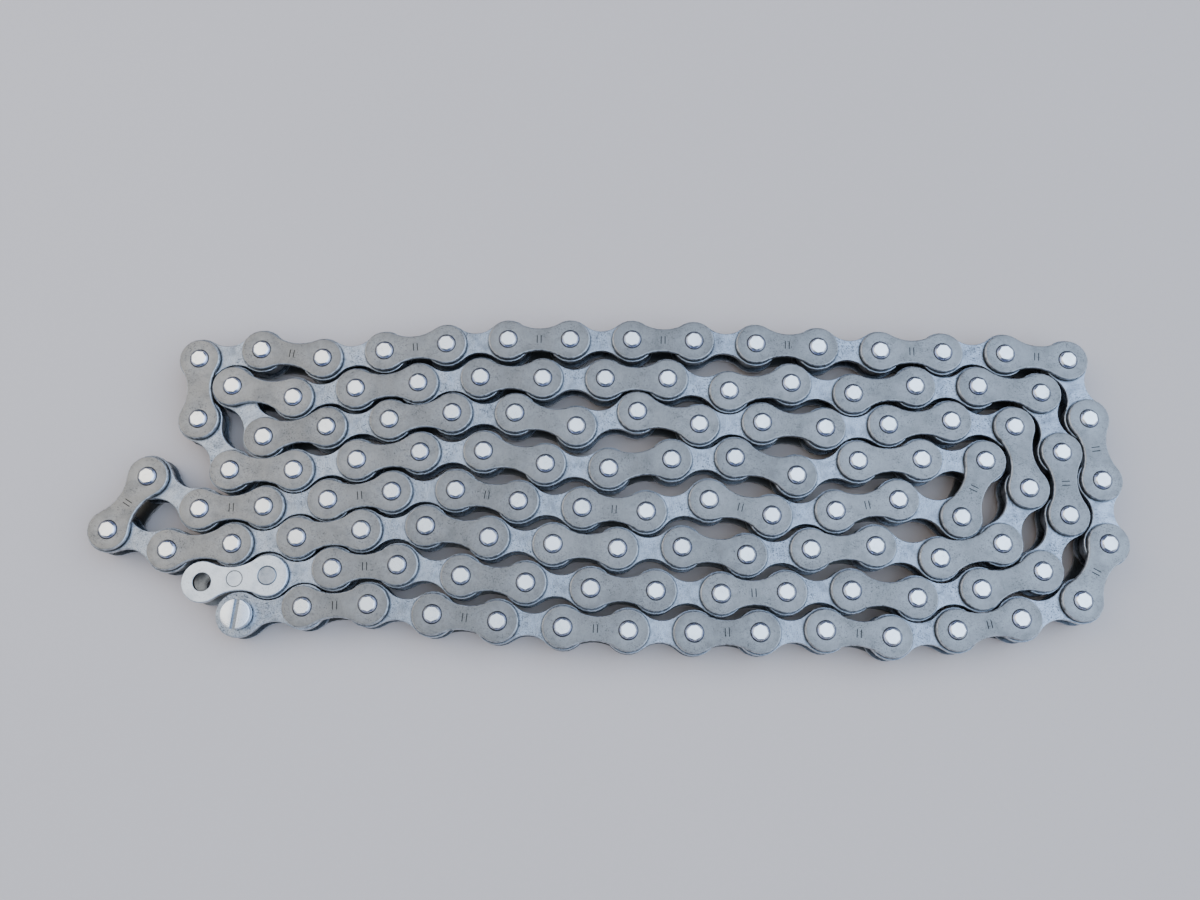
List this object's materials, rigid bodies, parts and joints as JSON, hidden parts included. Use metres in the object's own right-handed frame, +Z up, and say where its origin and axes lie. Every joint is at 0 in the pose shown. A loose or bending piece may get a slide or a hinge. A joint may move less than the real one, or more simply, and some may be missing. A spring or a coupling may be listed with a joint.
{
  "type": "roller chain",
  "caption": "Half-inch pitch bicycle roller chain, lying folded flat in close rows, with an open screw-type connecting link.",
  "frame": {"origin": "middle of the base of the chain's bounding box, on the surface it lies on", "axes": "+X along the rows, towards the side where the outer run turns back; +Y across the rows, away from the open ends; +Z up, along the pins"},
  "size_m": [0.2058, 0.0692, 0.009],
  "materials": {
    "outer_plate": "satin, warm mid grey",
    "inner_plate": "satin, light silver",
    "pin": "bright, hammered ends",
    "bush": "ground",
    "roller": "ground, dark satin",
    "connecting_plate": "satin nickel, near white",
    "screw": "bright nickel"
  },
  "bodies": {
    "coil": {"front_outer_plates": "outer_plate", "front_inner_plates": "inner_plate", "coil_outer_plates": "outer_plate", "coil_inner_plates": "inner_plate", "coil_pins": "pin", "coil_bushes": "bush", "coil_rollers": "roller"},
    "link01": {"link01_outer_plates": "outer_plate", "link01_pins": "pin"},
    "link02": {"link02_inner_plates": "inner_plate", "link02_bushes": "bush"},
    "link02_roller_near": {"link02_roller_near": "roller"},
    "link02_roller_far": {"link02_roller_far": "roller"},
    "link03": {"link03_outer_plates": "outer_plate", "link03_pins": "pin"},
    "link04": {"link04_inner_plates": "inner_plate", "link04_bushes": "bush"},
    "link04_roller_near": {"link04_roller_near": "roller"},
    "link04_roller_far": {"link04_roller_far": "roller"},
    "link05": {"link05_outer_plates": "outer_plate", "link05_pins": "pin"},
    "link06": {"link06_inner_plates": "inner_plate", "link06_bushes": "bush"},
    "link06_roller_near": {"link06_roller_near": "roller"},
    "link06_roller_far": {"link06_roller_far": "roller"},
    "link07": {"link07_outer_plates": "outer_plate", "link07_pins": "pin"},
    "link08": {"link08_inner_plates": "inner_plate", "link08_bushes": "bush"},
    "link08_roller_near": {"link08_roller_near": "roller"},
    "link08_roller_far": {"link08_roller_far": "roller"},
    "link09": {"link09_outer_plates": "outer_plate", "link09_pins": "pin"},
    "link10": {"link10_inner_plates": "inner_plate", "link10_bushes": "bush"},
    "link10_roller_near": {"link10_roller_near": "roller"},
    "link10_roller_far": {"link10_roller_far": "roller"},
    "link11": {"link11_outer_plates": "outer_plate", "link11_pins": "pin"},
    "link12": {"link12_inner_plates": "inner_plate", "link12_bushes": "bush"},
    "link12_roller_near": {"link12_roller_near": "roller"},
    "link12_roller_far": {"link12_roller_far": "roller"},
    "link13": {"link13_outer_plates": "outer_plate", "link13_pins": "pin"},
    "link14": {"link14_inner_plates": "inner_plate", "link14_bushes": "bush"},
    "link14_roller_near": {"link14_roller_near": "roller"},
    "link14_roller_far": {"link14_roller_far": "roller"},
    "link15": {"link15_outer_plates": "outer_plate", "link15_pins": "pin"},
    "link16": {"link16_inner_plates": "inner_plate", "link16_bushes": "bush"},
    "link16_roller_near": {"link16_roller_near": "roller"},
    "link16_roller_far": {"link16_roller_far": "roller"},
    "connecting_link": {"connecting_plate_upper": "connecting_plate", "connecting_plate_lower": "connecting_plate", "connecting_pin": "connecting_plate"},
    "screw": {"connecting_screw": "screw"}
  },
  "joints": [
    {"name": "connecting_hinge", "type": "hinge", "parent": "coil", "child": "connecting_link", "pos_m": [-0.06632, -0.01835, 0.0043], "axis": [0, 0, 1], "range_deg": [-1.5, 10]},
    {"name": "screw_lift", "type": "slide", "parent": "link16", "child": "screw", "axis": [0, 0, 1], "range_m": [0, 0.0075]},
    {"name": "link01_hinge", "type": "hinge", "parent": "coil", "child": "link01", "pos_m": [0.09702, 0.01326, 0.0043], "axis": [0, 0, 1], "range_deg": [0, 45]},
    {"name": "link02_hinge", "type": "hinge", "parent": "link01", "child": "link02", "pos_m": [0.09838, 0.00063, 0.0043], "axis": [0, 0, -1], "range_deg": [-45, 0]},
    {"name": "link03_hinge", "type": "hinge", "parent": "link02", "child": "link03", "pos_m": [0.0984, -0.01207, 0.0043], "axis": [0, 0, 1], "range_deg": [0, 45]},
    {"name": "link04_hinge", "type": "hinge", "parent": "link03", "child": "link04", "pos_m": [0.09218, -0.02314, 0.0043], "axis": [0, 0, -1], "range_deg": [-45, 0]},
    {"name": "link05_hinge", "type": "hinge", "parent": "link04", "child": "link05", "pos_m": [0.07996, -0.02663, 0.0043], "axis": [0, 0, 1], "range_deg": [0, 45]},
    {"name": "link06_hinge", "type": "hinge", "parent": "link05", "child": "link06", "pos_m": [0.06745, -0.02879, 0.0043], "axis": [0, 0, -1], "range_deg": [-45, 0]},
    {"name": "link07_hinge", "type": "hinge", "parent": "link06", "child": "link07", "pos_m": [0.05481, -0.03007, 0.0043], "axis": [0, 0, 1], "range_deg": [0, 45]},
    {"name": "link08_hinge", "type": "hinge", "parent": "link07", "child": "link08", "pos_m": [0.04218, -0.02881, 0.0043], "axis": [0, 0, -1], "range_deg": [-45, 0]},
    {"name": "link09_hinge", "type": "hinge", "parent": "link08", "child": "link09", "pos_m": [0.02948, -0.02922, 0.0043], "axis": [0, 0, 1], "range_deg": [0, 45]},
    {"name": "link10_hinge", "type": "hinge", "parent": "link09", "child": "link10", "pos_m": [0.01678, -0.02927, 0.0043], "axis": [0, 0, -1], "range_deg": [-45, 0]},
    {"name": "link11_hinge", "type": "hinge", "parent": "link10", "child": "link11", "pos_m": [0.00409, -0.02885, 0.0043], "axis": [0, 0, 1], "range_deg": [0, 45]},
    {"name": "link12_hinge", "type": "hinge", "parent": "link11", "child": "link12", "pos_m": [-0.00859, -0.02822, 0.0043], "axis": [0, 0, -1], "range_deg": [-45, 0]},
    {"name": "link13_hinge", "type": "hinge", "parent": "link12", "child": "link13", "pos_m": [-0.02125, -0.02712, 0.0043], "axis": [0, 0, 1], "range_deg": [0, 45]},
    {"name": "link14_hinge", "type": "hinge", "parent": "link13", "child": "link14", "pos_m": [-0.03388, -0.02579, 0.0043], "axis": [0, 0, -1], "range_deg": [-45, 0]},
    {"name": "link15_hinge", "type": "hinge", "parent": "link14", "child": "link15", "pos_m": [-0.04643, -0.02387, 0.0043], "axis": [0, 0, 1], "range_deg": [0, 45]},
    {"name": "link16_hinge", "type": "hinge", "parent": "link15", "child": "link16", "pos_m": [-0.05912, -0.02436, 0.0043], "axis": [0, 0, -1], "range_deg": [-45, 0]},
    {"name": "link02_roller_near_spin", "type": "hinge", "parent": "link02", "child": "link02_roller_near", "pos_m": [0.09838, 0.00063, 0.0043], "axis": [0, 0, 1], "continuous": true},
    {"name": "link02_roller_far_spin", "type": "hinge", "parent": "link02", "child": "link02_roller_far", "pos_m": [0.0984, -0.01207, 0.0043], "axis": [0, 0, 1], "continuous": true},
    {"name": "link04_roller_near_spin", "type": "hinge", "parent": "link04", "child": "link04_roller_near", "pos_m": [0.09218, -0.02314, 0.0043], "axis": [0, 0, 1], "continuous": true},
    {"name": "link04_roller_far_spin", "type": "hinge", "parent": "link04", "child": "link04_roller_far", "pos_m": [0.07996, -0.02663, 0.0043], "axis": [0, 0, 1], "continuous": true},
    {"name": "link06_roller_near_spin", "type": "hinge", "parent": "link06", "child": "link06_roller_near", "pos_m": [0.06745, -0.02879, 0.0043], "axis": [0, 0, 1], "continuous": true},
    {"name": "link06_roller_far_spin", "type": "hinge", "parent": "link06", "child": "link06_roller_far", "pos_m": [0.05481, -0.03007, 0.0043], "axis": [0, 0, 1], "continuous": true},
    {"name": "link08_roller_near_spin", "type": "hinge", "parent": "link08", "child": "link08_roller_near", "pos_m": [0.04218, -0.02881, 0.0043], "axis": [0, 0, 1], "continuous": true},
    {"name": "link08_roller_far_spin", "type": "hinge", "parent": "link08", "child": "link08_roller_far", "pos_m": [0.02948, -0.02922, 0.0043], "axis": [0, 0, 1], "continuous": true},
    {"name": "link10_roller_near_spin", "type": "hinge", "parent": "link10", "child": "link10_roller_near", "pos_m": [0.01678, -0.02927, 0.0043], "axis": [0, 0, 1], "continuous": true},
    {"name": "link10_roller_far_spin", "type": "hinge", "parent": "link10", "child": "link10_roller_far", "pos_m": [0.00409, -0.02885, 0.0043], "axis": [0, 0, 1], "continuous": true},
    {"name": "link12_roller_near_spin", "type": "hinge", "parent": "link12", "child": "link12_roller_near", "pos_m": [-0.00859, -0.02822, 0.0043], "axis": [0, 0, 1], "continuous": true},
    {"name": "link12_roller_far_spin", "type": "hinge", "parent": "link12", "child": "link12_roller_far", "pos_m": [-0.02125, -0.02712, 0.0043], "axis": [0, 0, 1], "continuous": true},
    {"name": "link14_roller_near_spin", "type": "hinge", "parent": "link14", "child": "link14_roller_near", "pos_m": [-0.03388, -0.02579, 0.0043], "axis": [0, 0, 1], "continuous": true},
    {"name": "link14_roller_far_spin", "type": "hinge", "parent": "link14", "child": "link14_roller_far", "pos_m": [-0.04643, -0.02387, 0.0043], "axis": [0, 0, 1], "continuous": true},
    {"name": "link16_roller_near_spin", "type": "hinge", "parent": "link16", "child": "link16_roller_near", "pos_m": [-0.05912, -0.02436, 0.0043], "axis": [0, 0, 1], "continuous": true},
    {"name": "link16_roller_far_spin", "type": "hinge", "parent": "link16", "child": "link16_roller_far", "pos_m": [-0.07174, -0.02582, 0.0043], "axis": [0, 0, 1], "continuous": true}
  ]
}
